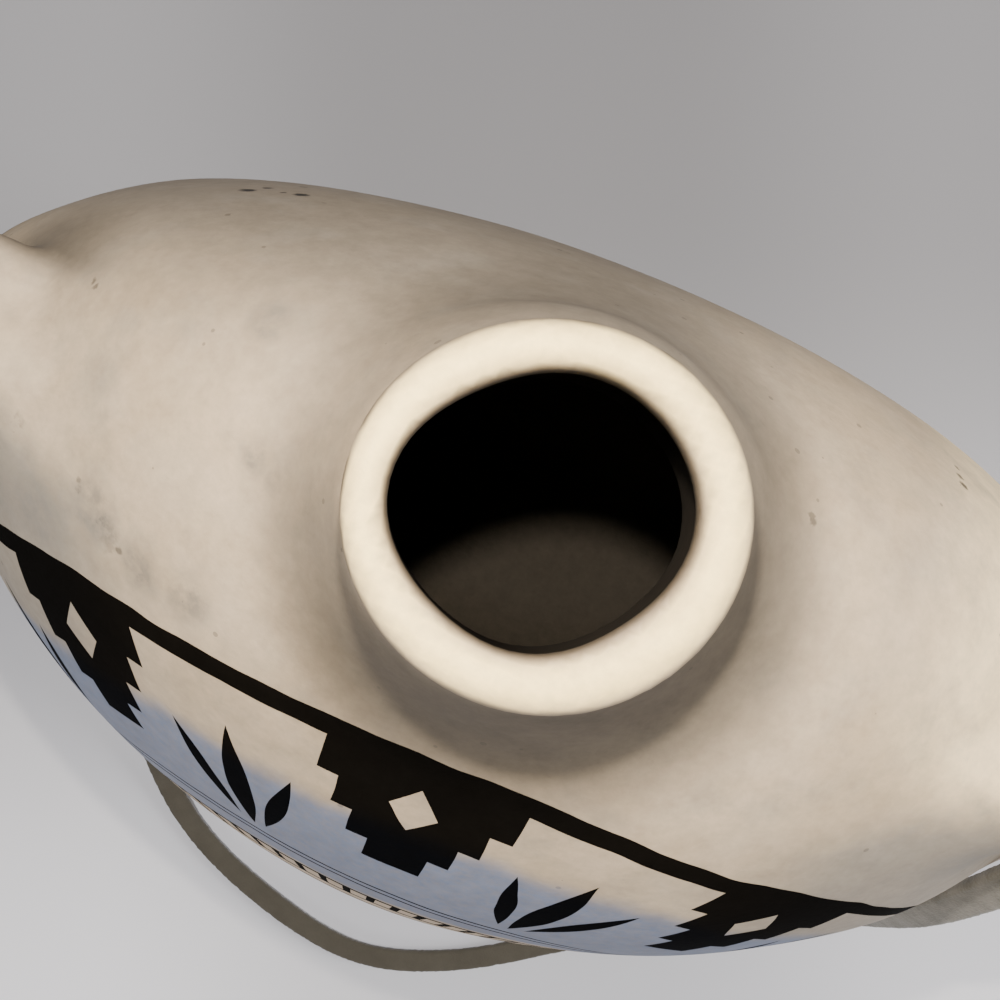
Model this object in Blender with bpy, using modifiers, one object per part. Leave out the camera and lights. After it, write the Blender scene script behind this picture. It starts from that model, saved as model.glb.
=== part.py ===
# Clay canteen: two clay bowls joined at the girth, a luted neck, two loop lugs
# and a flat suede thong tied from lug to lug. Metres, +Z up, front is -Y.
import bpy
import bmesh
import numpy as np
from math import atan2, cos, pi, radians, sin, sqrt

# Body, a flattened round whose axis runs from front to back
GIRTH_RADIUS = 0.0875
FRONT_DEPTH = 0.0635
BACK_DEPTH = 0.0364
FRONT_FULLNESS = 1.62
BACK_FULLNESS = 2.11
WALL = 0.0055
BASE_FLAT = 0.006
BASE_THICKNESS = 0.0075
CLAY_GAP = 0.0003

# Neck
NECK_RISE = 0.0189
LIP_RADIUS = 0.0157
BORE_RADIUS = 0.0114
NECK_WAIST = 0.0152
ROOT_FLARE = 0.0048

# Lugs, angles measured from straight up
LUG_UPPER_ANGLE = 45.5
LUG_LOWER_ANGLE = 72.0
LUG_EYE = 0.0105
LUG_THICKNESS = 0.0092
LUG_WIDTH = 0.0175
LUG_ROOT_RATIO = 1.6
LUG_FORWARD = 0.0025

# Suede thong and its knots
THONG_WIDTH = 0.0065
THONG_THICKNESS = 0.0022
KNOT_SIZE = 0.0115
KNOT_GAP = 0.0004
KNOT_FURROW_RATIO = 0.09
TAIL_LENGTH = 0.0125

# Mesh fineness
ROUND_STEPS = 64
DOME_POINTS = 11
FACET_TURN = 1.3

GIRTH_HEIGHT = GIRTH_RADIUS - BASE_FLAT
RIM_HEIGHT = GIRTH_HEIGHT + GIRTH_RADIUS + NECK_RISE

for old in list(bpy.data.objects):
    bpy.data.objects.remove(old, do_unlink=True)

canteen = bpy.data.collections.new("clay_canteen")
cutters = bpy.data.collections.new("cutters")
bpy.context.scene.collection.children.link(canteen)
bpy.context.scene.collection.children.link(cutters)


def material(name, colour, roughness):
    made = bpy.data.materials.new(name)
    made.use_nodes = True
    shader = made.node_tree.nodes["Principled BSDF"]
    shader.inputs["Base Color"].default_value = (*colour, 1.0)
    shader.inputs["Roughness"].default_value = roughness
    shader.inputs["Metallic"].default_value = 0.0
    return made


def show(obj, mat):
    canteen.objects.link(obj)
    obj.data.materials.clear()
    obj.data.materials.append(mat)
    return obj


def keep_as_cutter(obj):
    cutters.objects.link(obj)
    obj.hide_render = True
    obj.display_type = "WIRE"
    return obj


def mesh_object(name, points, edges=(), faces=()):
    mesh = bpy.data.meshes.new(name)
    mesh.from_pydata([tuple(p) for p in points], list(edges), list(faces))
    mesh.update()
    return bpy.data.objects.new(name, mesh)


def turned(name, profile, axis, steps, closed):
    # A profile turned once round an axis
    count = len(profile)
    edges = [(i, i + 1) for i in range(count - 1)]
    if closed:
        edges.append((count - 1, 0))
    obj = mesh_object(name, profile, edges)
    screw = obj.modifiers.new("turn", "SCREW")
    screw.axis = axis
    screw.angle = 2 * pi
    screw.steps = steps
    screw.render_steps = steps
    screw.use_merge_vertices = True
    screw.merge_threshold = 0.00001
    screw.use_smooth_shade = True
    return obj


def cut(obj, cutter, name):
    step = obj.modifiers.new(name, "BOOLEAN")
    step.operation = "DIFFERENCE"
    step.solver = "EXACT"
    step.object = cutter
    return step


def box(name, low, high):
    corners = [(x, y, z) for x in (low[0], high[0]) for y in (low[1], high[1]) for z in (low[2], high[2])]
    faces = [(0, 1, 3, 2), (4, 6, 7, 5), (0, 4, 5, 1), (2, 3, 7, 6), (0, 2, 6, 4), (1, 5, 7, 3)]
    return keep_as_cutter(mesh_object(name, corners, (), faces))


def dome(share, depth, fullness):
    return depth * sqrt(max(0.0, 1.0 - share ** fullness))


def round_body(name, grow):
    # The whole flattened round, made larger or smaller by one wall distance
    radius = GIRTH_RADIUS + grow
    front = FRONT_DEPTH + grow
    back = BACK_DEPTH + grow
    turns = [0.5 * pi * i / DOME_POINTS for i in range(DOME_POINTS + 1)]
    profile = [(radius * sin(t), dome(sin(t), back, BACK_FULLNESS), 0.0) for t in turns]
    profile += [(radius * sin(t), -dome(sin(t), front, FRONT_FULLNESS), 0.0) for t in turns[-2::-1]]
    obj = turned(name, profile, "Y", ROUND_STEPS, False)
    obj.location.z = GIRTH_HEIGHT
    return obj


def at_angle(degrees, radius, side):
    # A point over the girth circle, at an angle from straight up
    turn = radians(degrees)
    return np.array([side * radius * sin(turn), 0.0, GIRTH_HEIGHT + radius * cos(turn)])


def solid_from_curve(curve_obj, name):
    # The curve's solid as one welded mesh
    bpy.context.scene.collection.objects.link(curve_obj)
    bpy.context.view_layer.update()
    graph = bpy.context.evaluated_depsgraph_get()
    mesh = bpy.data.meshes.new_from_object(curve_obj.evaluated_get(graph))
    mesh.transform(curve_obj.matrix_world)
    bpy.data.objects.remove(curve_obj, do_unlink=True)
    weld = bmesh.new()
    weld.from_mesh(mesh)
    bmesh.ops.remove_doubles(weld, verts=weld.verts, dist=0.00002)
    bmesh.ops.recalc_face_normals(weld, faces=weld.faces)
    weld.to_mesh(mesh)
    weld.free()
    mesh.name = name
    return bpy.data.objects.new(name, mesh)


slip = material("cream_slip_clay", (0.66, 0.59, 0.49), 0.6)
slip_back = material("cream_slip_clay_back", (0.62, 0.55, 0.45), 0.62)
slip_neck = material("cream_slip_clay_neck", (0.70, 0.63, 0.53), 0.55)
slip_lug = material("cream_slip_clay_lug", (0.66, 0.59, 0.48), 0.6)
suede = material("grey_tan_suede", (0.24, 0.22, 0.19), 0.9)

# Cutters: the hollow, the seat left for luted pieces, the floor and the halves
reach = 4 * GIRTH_RADIUS
hollow = keep_as_cutter(round_body("hollow", -WALL))
seat = keep_as_cutter(round_body("seat", CLAY_GAP))
under_floor = box("under_floor", (-reach, -reach, -reach), (reach, reach, 0.0))
inner_floor = box("inner_floor", (-reach, -reach, -reach), (reach, reach, BASE_THICKNESS))
cut(hollow, inner_floor, "flat_inside")
back_half = box("back_half", (-reach, -CLAY_GAP / 2, -reach), (reach, reach, reach))
front_half = box("front_half", (-reach, -reach, -reach), (reach, CLAY_GAP / 2, reach))
bore_profile = [
    (0.0, 0.0, RIM_HEIGHT + NECK_RISE),
    (BORE_RADIUS, 0.0, RIM_HEIGHT + NECK_RISE),
    (BORE_RADIUS, 0.0, GIRTH_HEIGHT + 0.5 * GIRTH_RADIUS),
    (0.0, 0.0, GIRTH_HEIGHT + 0.5 * GIRTH_RADIUS),
]
bore = keep_as_cutter(turned("bore", bore_profile, "Z", 48, False))
bore.rotation_euler.z = radians(FACET_TURN)

# Front and back bowls, open to each other inside and to the neck above
for name, mat, other_half in (("front_shell", slip, back_half), ("back_shell", slip_back, front_half)):
    shell = show(round_body(name, 0.0), mat)
    cut(shell, hollow, "hollow")
    cut(shell, under_floor, "flat_base")
    cut(shell, other_half, "girth_joint")
    cut(shell, bore, "neck_hole")

# Neck: rounded lip, slightly waisted wall and a root that flares over the shoulder
lip_half = 0.5 * (LIP_RADIUS - BORE_RADIUS)
lip_middle = BORE_RADIUS + lip_half
root_radius = NECK_WAIST + ROOT_FLARE
root_share = (1.0 - ((root_radius + WALL) / BACK_DEPTH) ** 2) ** (1.0 / BACK_FULLNESS)
root_bottom = GIRTH_HEIGHT + GIRTH_RADIUS * root_share
shoulder = GIRTH_HEIGHT + GIRTH_RADIUS
profile = []
for i in range(7):
    turn = pi * (1.0 - i / 6.0)
    profile.append((lip_middle + lip_half * cos(turn), 0.0, RIM_HEIGHT - lip_half + lip_half * sin(turn)))
profile.append((NECK_WAIST, 0.0, RIM_HEIGHT - 0.45 * NECK_RISE))
for i in range(6):
    share = i / 5.0
    height = shoulder + 0.28 * NECK_RISE - share * (shoulder + 0.28 * NECK_RISE - root_bottom)
    profile.append((NECK_WAIST + ROOT_FLARE * (1.0 - (1.0 - share) ** 2.2), 0.0, height))
profile.append((BORE_RADIUS, 0.0, root_bottom))
neck = show(turned("neck", profile, "Z", 48, True), slip_neck)
neck.rotation_euler.z = radians(FACET_TURN)
cut(neck, seat, "seat_on_shoulder")

# Lugs: an arch standing on the girth line, oval in section, spread at its roots
lug_middle = 0.5 * (LUG_UPPER_ANGLE + LUG_LOWER_ANGLE)
lug_half_angle = 0.5 * (LUG_LOWER_ANGLE - LUG_UPPER_ANGLE)
lug_foot = 1.2 * LUG_THICKNESS
lug_crown = LUG_EYE + 0.5 * LUG_THICKNESS


def lug_arch(side):
    points = []
    for i in range(19):
        turn = pi * i / 18.0
        along = -cos(turn)
        rise = sin(turn) ** 0.75
        out = GIRTH_RADIUS - lug_foot + (lug_foot + lug_crown) * rise
        points.append(at_angle(lug_middle + lug_half_angle * along, out, side))
    return points


def lug_spread(place):
    return 1.0 + (LUG_ROOT_RATIO - 1.0) * abs(place / 9.0 - 1.0) ** 2.6


for name, side in (("left_lug", -1.0), ("right_lug", 1.0)):
    curve = bpy.data.curves.new(name, "CURVE")
    curve.dimensions = "3D"
    curve.bevel_depth = 0.5 * LUG_THICKNESS
    curve.bevel_resolution = 3
    curve.use_fill_caps = True
    line = curve.splines.new("POLY")
    arch = lug_arch(side)
    line.points.add(len(arch) - 1)
    for place, spot in enumerate(arch):
        line.points[place].co = (*spot, 1.0)
        line.points[place].radius = lug_spread(place)
    sweep = bpy.data.objects.new(name, curve)
    sweep.scale.y = LUG_WIDTH / LUG_THICKNESS
    sweep.location.y = -LUG_FORWARD
    lug = show(solid_from_curve(sweep, name), slip_lug)
    cut(lug, seat, "seat_on_shoulder")

# Thong: a flat lace through both eyes, down in front and round on the table
lug_front = -0.5 * LUG_WIDTH - LUG_FORWARD
eye_angle = lug_middle + 0.33 * lug_half_angle
eye_rise = GIRTH_RADIUS + 0.46 * LUG_EYE
knot_reach = 0.5 * KNOT_SIZE
flat_z = 0.5 * THONG_THICKNESS + 0.0003


def knot_seat():
    # How far back the knot's centre lies when it bears on the lug and the body
    clear = knot_reach + KNOT_GAP
    middle = at_angle(eye_angle, eye_rise, 1.0)
    furthest = 0.0
    for place, spot in enumerate(lug_arch(1.0)):
        below = np.linalg.norm(spot - middle)
        for turn in np.linspace(0.5 * pi, pi, 40):
            inward = below + 0.5 * LUG_THICKNESS * lug_spread(place) * cos(turn)
            edge = 0.5 * LUG_WIDTH * lug_spread(place) * sin(turn) - LUG_FORWARD
            if inward < clear:
                furthest = max(furthest, edge + sqrt(clear ** 2 - inward ** 2))
    for share in np.linspace(0.7, 1.0, 60):
        inward = eye_rise - GIRTH_RADIUS * share
        if inward < clear:
            edge = dome(share, BACK_DEPTH, BACK_FULLNESS)
            furthest = max(furthest, edge + sqrt(clear ** 2 - inward ** 2))
    return furthest


def knot_swell(spot):
    # The knot's reach in one direction, furrowed where its strands cross
    strand = cos(2.0 * atan2(spot[2], spot[0]) + 2.6 * spot[1])
    return knot_reach * (1.0 - KNOT_FURROW_RATIO * (1.0 - strand) * (1.0 - spot[1] ** 2))


knot_y = knot_seat()


def eye_point(side, y):
    spot = at_angle(eye_angle, eye_rise, side)
    spot[1] = y
    return spot


thong_start = knot_y - knot_reach - KNOT_GAP
free_right = [
    (0.0790, -0.0180, 0.1200),
    (0.0775, -0.0262, 0.1085),
    (0.0760, -0.0350, 0.0920),
    (0.0725, -0.0465, 0.0600),
    (0.0660, -0.0605, 0.0290),
    (0.0560, -0.0745, 0.0085),
]
free_left = [
    (-0.0802, -0.0180, 0.1200),
    (-0.0802, -0.0255, 0.1085),
    (-0.0790, -0.0330, 0.0920),
    (-0.0756, -0.0425, 0.0600),
    (-0.0685, -0.0575, 0.0290),
    (-0.0570, -0.0745, 0.0085),
]
on_table = [
    (0.0435, -0.0860),
    (0.0245, -0.0983),
    (0.0030, -0.1047),
    (-0.0230, -0.0996),
    (-0.0430, -0.0900),
]
through = [eye_point(1.0, thong_start), eye_point(1.0, 0.5 * lug_front), eye_point(1.0, lug_front)]
route = list(through)
route += [np.array(p) for p in free_right]
route += [np.array([x, y, flat_z]) for x, y in on_table]
route += [np.array(p) for p in reversed(free_left)]
route += [np.array([-p[0], p[1], p[2]]) for p in reversed(through)]


def smooth_line(stops, count):
    # Evenly spaced points on a smooth curve through the stops
    stops = np.array(stops)
    padded = np.vstack([2 * stops[0] - stops[1], stops, 2 * stops[-1] - stops[-2]])
    fine = []
    for i in range(len(stops) - 1):
        a, b, c, d = padded[i:i + 4]
        for t in np.linspace(0.0, 1.0, 24, endpoint=False):
            part = 2 * b + (c - a) * t + (2 * a - 5 * b + 4 * c - d) * t ** 2 + (3 * b - a - 3 * c + d) * t ** 3
            fine.append(0.5 * part)
    fine.append(stops[-1])
    fine = np.array(fine)
    fine[:, 2] = np.maximum(fine[:, 2], flat_z)
    run = np.concatenate([[0.0], np.cumsum(np.linalg.norm(np.diff(fine, axis=0), axis=1))])
    places = np.linspace(0.0, run[-1], count)
    return np.stack([np.interp(places, run, fine[:, k]) for k in range(3)], axis=1)


def lace(name, points):
    # A flat rounded strip along a line
    half_w = 0.5 * THONG_WIDTH
    half_t = 0.5 * THONG_THICKNESS
    shape = bpy.data.curves.new(name + "_section", "CURVE")
    shape.dimensions = "2D"
    ring = shape.splines.new("POLY")
    trim = 0.55 * half_t
    spots = [(half_w, half_t - trim), (half_w - trim, half_t), (trim - half_w, half_t), (-half_w, half_t - trim)]
    spots += [(-x, -y) for x, y in spots]
    ring.points.add(len(spots) - 1)
    for place, (x, y) in enumerate(spots):
        ring.points[place].co = (x, y, 0.0, 1.0)
    ring.use_cyclic_u = True
    section = keep_as_cutter(bpy.data.objects.new(name + "_section", shape))
    curve = bpy.data.curves.new(name, "CURVE")
    curve.dimensions = "3D"
    curve.twist_mode = "Z_UP"
    curve.bevel_mode = "OBJECT"
    curve.bevel_object = section
    curve.use_fill_caps = True
    line = curve.splines.new("POLY")
    line.points.add(len(points) - 1)
    for place, spot in enumerate(points):
        line.points[place].co = (*spot, 1.0)
    return show(solid_from_curve(bpy.data.objects.new(name, curve), name), suede)


thong_line = smooth_line(route, 80)
lace("thong", thong_line)

# Knots and tails behind the lugs
for name, side in (("left", -1.0), ("right", 1.0)):
    centre = eye_point(side, knot_y)
    ball = bmesh.new()
    bmesh.ops.create_icosphere(ball, subdivisions=3, radius=1.0)
    for vert in ball.verts:
        vert.co = vert.co.normalized() * knot_swell(vert.co.normalized())
    mesh = bpy.data.meshes.new(name + "_knot")
    ball.to_mesh(mesh)
    ball.free()
    knot = bpy.data.objects.new(name + "_knot", mesh)
    knot.location = centre
    show(knot, suede)
    lean = np.array([side * 0.60, 0.30, -0.74])
    lean = lean / np.linalg.norm(lean)
    first = centre + lean * (knot_swell(lean) + KNOT_GAP)
    tail = [first + lean * TAIL_LENGTH * share for share in np.linspace(0.0, 1.0, 6)]
    lace(name + "_thong_end", tail)
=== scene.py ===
from math import pi, radians

import bmesh
import bpy
import numpy as np
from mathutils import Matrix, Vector


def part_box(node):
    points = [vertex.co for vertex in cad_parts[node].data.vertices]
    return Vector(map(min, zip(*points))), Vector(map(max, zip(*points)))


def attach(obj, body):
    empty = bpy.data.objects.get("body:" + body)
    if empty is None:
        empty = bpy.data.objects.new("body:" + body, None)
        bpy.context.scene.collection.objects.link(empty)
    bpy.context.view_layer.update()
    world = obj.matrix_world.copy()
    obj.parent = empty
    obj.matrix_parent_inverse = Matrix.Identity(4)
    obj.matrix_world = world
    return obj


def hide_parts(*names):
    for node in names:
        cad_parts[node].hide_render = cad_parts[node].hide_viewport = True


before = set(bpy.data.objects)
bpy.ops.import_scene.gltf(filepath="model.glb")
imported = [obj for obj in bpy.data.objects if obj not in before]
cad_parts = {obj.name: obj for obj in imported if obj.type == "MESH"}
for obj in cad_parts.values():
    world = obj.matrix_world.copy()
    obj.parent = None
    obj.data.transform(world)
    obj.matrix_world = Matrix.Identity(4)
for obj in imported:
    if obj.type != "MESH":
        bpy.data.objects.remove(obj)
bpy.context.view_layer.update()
print("frame loaded with", len(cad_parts), "solids")

scene = bpy.context.scene
mm = 0.001


def linear(hexText):
    # sRGB hex to the linear colour a shader wants
    parts = [int(hexText[i:i + 2], 16) / 255 for i in (1, 3, 5)]
    return tuple(p / 12.92 if p <= 0.04045 else ((p + 0.055) / 1.055) ** 2.4 for p in parts) + (1.0,)


def addNode(tree, kind, inputs=(), **settings):
    # one node with its settings, giving back its outputs; inputs go by name or in order,
    # a socket among them is linked and any other is a value
    made = tree.nodes.new(kind)
    for key, value in settings.items():
        setattr(made, key, value)
    given = inputs if isinstance(inputs, dict) else dict(enumerate(inputs))
    for key, value in given.items():
        if isinstance(value, bpy.types.NodeSocket):
            tree.links.new(value, made.inputs[key])
        else:
            made.inputs[key].default_value = value
    return made.outputs


def newMaterial(name, roughness):
    made = bpy.data.materials.new(name)
    made.use_nodes = True
    shader = made.node_tree.nodes["Principled BSDF"].inputs
    shader["Roughness"].default_value = roughness
    return made, made.node_tree, shader


def layered(tree, ground, layers):
    # each layer is laid over the ones before it: how much of it shows, then its colour
    base = linear(ground)
    for amount, hexText in layers:
        base = addNode(tree, "ShaderNodeMix", {0: amount, 6: base, 7: linear(hexText)}, data_type="RGBA")[2]
    return base


def finishPiece(obj, slotName, *nodes):
    # the piece rides on the only body and stands for its solids
    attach(obj, "root")
    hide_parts(*nodes)
    return obj


# camera: straight down over the neck, turned about the view axis
photoCamera = {
    "aboveRim": 0.10028,
    "rimHeight": 0.1879,
    "sideways": (-0.00394, -0.00022),
    "turn": 22.17,  # degrees
    "lens": 46.8,  # mm
    "sensor": 36.0,  # mm
    "nearest": 0.005,
}
cameraData = bpy.data.cameras.new("photoCamera")
cameraData.lens = photoCamera["lens"]
cameraData.sensor_width = photoCamera["sensor"]
cameraData.clip_start = photoCamera["nearest"]
camera = bpy.data.objects.new("photoCamera", cameraData)
camera.location = (*photoCamera["sideways"], photoCamera["rimHeight"] + photoCamera["aboveRim"])
camera.rotation_euler = (0.0, 0.0, radians(photoCamera["turn"]))
scene.collection.objects.link(camera)
scene.camera = camera
print("camera set")


# clay body, all sizes in millimetres; a pair says where something starts and where it is full
clay = {
    "girthRadius": 87.5,
    "girthHeight": 81.5,
    "frontDepth": 63.5,
    "backDepth": 36.4,
    "frontFullness": 1.62,
    "backFullness": 2.11,
    "girthBlend": 6.0,  # how far from the girth the front's curve turns into the back's
    "backShift": 0.75,  # the back stands this much deeper
    "backLean": 0.01,  # and more so to the right, for each mm
    "rightFull": 1.2,
    "rightFullSpan": (10.0, 60.0),
    "leftPress": 1.6,
    "leftPressSpan": (-58.0, -76.0),
    "skewSpan": (0.0, 16.0),
    "handWobble": 0.35,
    "wall": 5.5,
    "baseThickness": 7.5,
    "baseFillet": 5.0,
    "floorFillet": 8.0,
    "rimHeight": 187.9,
    "boreRadius": 11.65,
    "lipRadius": 16.0,
    "innerWaves": [(1, -0.4, 0.23), (2, 0.33, 0.45), (3, -0.19, 0.0), (4, 0.157818, 0.153276)],
    "outerWaves": [(2, 0.25, 0.19), (3, -0.08, 0.0)],
    "neckWaist": 0.45,  # how much the wall draws in below the lip
    "waistSpan": (0.0, 8.0),
    "neckFlare": 4.2,  # how much the wall thickens outwards towards its root
    "flareSpan": (4.0, 20.0),
    "neckFillet": 9.0,
    "boreWiden": 1.6,  # how much the bore opens out below the lip
    "widenSpan": (1.0, 13.0),
    "boreEnd": 39.375,  # above the girth centre
    "boreFillet": 3.0,
    "lugAngles": (45.5, 72.0),  # degrees from straight up
    "lugEye": 10.5,
    "lugThickness": 9.2,
    "lugWidth": 17.5,
    "lugForward": 2.5,
    "lugFoot": 1.2,  # thicknesses that the roots start below the skin
    "lugBow": 0.75,
    "lugSteps": 41,
    "lugsBeyond": 38.0,
    "lugFilletFront": 15.0,
    "lugFilletBack": 2.2,
    "lugFilletSpan": (-8.0, 3.0),
    "gridStep": 1.3,
    "gridLow": (-102.0, -69.0, -3.0),
    "gridHigh": (102.0, 42.0, 191.5),
    "pulls": 4,
    "neckCut": 171.0,
    "lugCut": 88.8,
}


def softMin(a, b, blend):
    near = np.maximum(blend - np.abs(a - b), 0.0) / blend
    return np.minimum(a, b) - near * near * blend * 0.25


def softMax(a, b, blend):
    return -softMin(-a, -b, blend)


def smoothStep(low, high, x):
    t = np.clip((x - low) / (high - low), 0.0, 1.0)
    return t * t * (3.0 - 2.0 * t)


def backSkew(x):
    # the back is not quite true: fuller to the right, pressed in beside the left lug
    skew = clay["backShift"] + clay["backLean"] * x
    skew += clay["rightFull"] * smoothStep(*clay["rightFullSpan"], x)
    return skew - clay["leftPress"] * smoothStep(*clay["leftPressSpan"], x)


def roundDistance(x, y, z, grow):
    # distance to the flattened round, by its level function over its slope
    radius = clay["girthRadius"] + grow
    front = clay["frontDepth"] + grow
    back = clay["backDepth"] + grow
    toBack = smoothStep(-clay["girthBlend"], clay["girthBlend"], y)
    power = clay["frontFullness"] + (clay["backFullness"] - clay["frontFullness"]) * toBack
    depth = np.where(y < 0.0, front, back)
    y = y - backSkew(x) * smoothStep(*clay["skewSpan"], y)
    share = np.sqrt(x * x + z * z + 1e-6) / radius
    level = share ** power + (y / depth) ** 2 - 1.0
    slopeOut = power / radius * share ** (power - 1.0)
    slopeDeep = 2.0 * y / depth ** 2
    return level / np.sqrt(slopeOut ** 2 + slopeDeep ** 2 + 1e-7)


def handDents(x, y, z):
    # slow rises and dents left by the hands, broad ones and closer ones
    broad = np.sin(x / 17.0 + 0.6) * np.sin(z / 15.0 + 1.1)
    close = np.sin(x / 9.0 + y / 12.0) * np.sin(z / 10.0 - y / 8.0)
    return clay["handWobble"] * (broad + 0.6 * close)


def lugArch():
    # centre line of the right lug over the girth circle
    low, high = clay["lugAngles"]
    turns = np.linspace(0.0, pi, clay["lugSteps"])
    angle = np.radians(0.5 * (low + high) - 0.5 * (high - low) * np.cos(turns))
    foot = clay["lugFoot"] * clay["lugThickness"]
    crown = clay["lugEye"] + 0.5 * clay["lugThickness"]
    out = clay["girthRadius"] - foot + (foot + crown) * np.sin(turns) ** clay["lugBow"]
    return np.stack([out * np.sin(angle), out * np.cos(angle)], axis=1)


arch = lugArch()


def lugDistance(x, y, z):
    # both lugs at once: a flat-sided strap of clay bent along the arch
    x = np.abs(x)
    best = np.full(x.shape, 1e9)
    for a, b in zip(arch[:-1], arch[1:]):
        run = b - a
        t = np.clip(((x - a[0]) * run[0] + (z - a[1]) * run[1]) / (run @ run), 0.0, 1.0)
        best = np.minimum(best, (x - a[0] - t * run[0]) ** 2 + (z - a[1] - t * run[1]) ** 2)
    half = 0.5 * clay["lugThickness"]
    aside = np.maximum(np.abs(y + clay["lugForward"]) - (0.5 * clay["lugWidth"] - half), 0.0)
    return np.sqrt(best + aside ** 2) - half


def wavyRadius(radius, waves, turn):
    # each wave: how many times round, its cosine part, its sine part
    for times, cosine, sine in waves:
        radius = radius + cosine * np.cos(times * turn) + sine * np.sin(times * turn)
    return radius


def lipShape(x, y):
    # hand-formed mouth whose edges wander: the lip's middle radius and half its thickness
    turn = np.arctan2(y, x)
    inner = wavyRadius(clay["boreRadius"], clay["innerWaves"], turn)
    outer = wavyRadius(clay["lipRadius"], clay["outerWaves"], turn)
    return 0.5 * (outer + inner), 0.5 * (outer - inner)


def clayParts(points):
    # outer skin and inner hollow as two distances
    x, y, z = points[:, 0], points[:, 1], points[:, 2] - clay["girthHeight"]
    rim = clay["rimHeight"] - clay["girthHeight"]
    body = roundDistance(x, y, z, 0.0) + handDents(x, y, z)
    out = np.sqrt(x * x + y * y)
    middle, half = lipShape(x, y)
    below = np.maximum(rim - half - z, 0.0)
    above = np.maximum(z - (rim - half), 0.0)
    waist = clay["neckWaist"] * smoothStep(*clay["waistSpan"], below)
    flare = 0.5 * clay["neckFlare"] * smoothStep(*clay["flareSpan"], below)
    wall = np.sqrt((out - middle + waist - flare) ** 2 + above ** 2) - half - flare
    # the neck stays in the upper half and leaves the base alone
    wall = np.where(z > 0.0, wall, clay["girthRadius"])
    skin = softMin(body, wall, clay["neckFillet"])
    near = (np.abs(x) > clay["lugsBeyond"]) & (z > 0.0)
    if near.any():
        lugs = lugDistance(x[near], y[near], z[near])
        toBack = smoothStep(*clay["lugFilletSpan"], y[near])
        blend = clay["lugFilletFront"] + (clay["lugFilletBack"] - clay["lugFilletFront"]) * toBack
        skin[near] = softMin(skin[near], lugs, blend)
    skin = softMax(skin, -points[:, 2], clay["baseFillet"])
    hollow = roundDistance(x, y, z, -clay["wall"])
    hollow = softMax(hollow, clay["baseThickness"] - points[:, 2], clay["floorFillet"])
    widen = clay["boreWiden"] * smoothStep(*clay["widenSpan"], rim - half - z)
    bore = np.maximum(out - (middle - half) - widen, clay["boreEnd"] - z)
    hollow = softMin(hollow, bore, clay["boreFillet"])
    return skin, hollow


def clayField(points):
    skin, hollow = clayParts(points)
    return np.maximum(skin, -hollow)


def claySlope(points, reach=0.06):
    slope = np.empty_like(points)
    for axis in range(3):
        shift = np.zeros(3)
        shift[axis] = reach
        slope[:, axis] = (clayField(points + shift) - clayField(points - shift)) / (2 * reach)
    return slope


def surfaceNet(values, low, step):
    # one point in each cell that the skin passes through, one quad over each crossed edge
    cells = tuple(n - 1 for n in values.shape)
    total = np.zeros(cells + (3,), np.float32)
    count = np.zeros(cells, np.float32)
    for axis in range(3):
        others = [a for a in range(3) if a != axis]
        for first in (0, 1):
            for second in (0, 1):
                start = [0, 0, 0]
                start[others[0]] = first
                start[others[1]] = second
                near = tuple(slice(s, s + n) for s, n in zip(start, cells))
                start[axis] = 1
                far = tuple(slice(s, s + n) for s, n in zip(start, cells))
                a, b = values[near], values[far]
                crossed = (a < 0) != (b < 0)
                part = a[crossed] / (a[crossed] - b[crossed])
                total[crossed, axis] += part
                total[crossed, others[0]] += first
                total[crossed, others[1]] += second
                count[crossed] += 1
    used = count > 0
    number = np.full(cells, -1, np.int64)
    number[used] = np.arange(used.sum())
    points = low + step * (np.argwhere(used) + total[used] / count[used][:, None])
    inside = values < 0
    quads = []
    for axis in range(3):
        u, v = (axis + 1) % 3, (axis + 2) % 3
        a = np.take(inside, range(0, values.shape[axis] - 1), axis)
        b = np.take(inside, range(1, values.shape[axis]), axis)
        spots = np.argwhere(a != b)
        keep = (spots[:, u] > 0) & (spots[:, v] > 0) & (spots[:, u] < cells[u]) & (spots[:, v] < cells[v])
        spots = spots[keep]
        outwards = a[tuple(spots.T)]
        ring = []
        for du, dv in ((1, 1), (0, 1), (0, 0), (1, 0)):
            cell = spots.copy()
            cell[:, u] -= du
            cell[:, v] -= dv
            ring.append(number[tuple(cell.T)])
        ring = np.stack(ring, axis=1)
        ring[~outwards] = ring[~outwards][:, ::-1]
        quads.append(ring)
    return points, np.concatenate(quads)


def buildClay():
    # the field on a grid, layer by layer, then its skin pulled onto the true surface
    step = clay["gridStep"]
    low = np.array(clay["gridLow"])
    axes = [np.arange(l, h, step) for l, h in zip(clay["gridLow"], clay["gridHigh"])]
    values = np.empty([len(a) for a in axes])
    y, z = np.meshgrid(axes[1], axes[2], indexing="ij")
    for i, x in enumerate(axes[0]):
        layer = np.stack([np.full(y.size, x), y.ravel(), z.ravel()], axis=1)
        values[i] = clayField(layer).reshape(y.shape)
    points, quads = surfaceNet(values, low, step)
    for _ in range(clay["pulls"]):
        level = clayField(points)
        slope = claySlope(points)
        move = level[:, None] * slope / np.maximum((slope ** 2).sum(1), 0.05)[:, None]
        points = points - np.clip(move, -0.5 * step, 0.5 * step)
    mesh = bpy.data.meshes.new("wholeClay")
    mesh.from_pydata(points * mm, [], quads.tolist())
    mesh.update()
    return mesh


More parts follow.
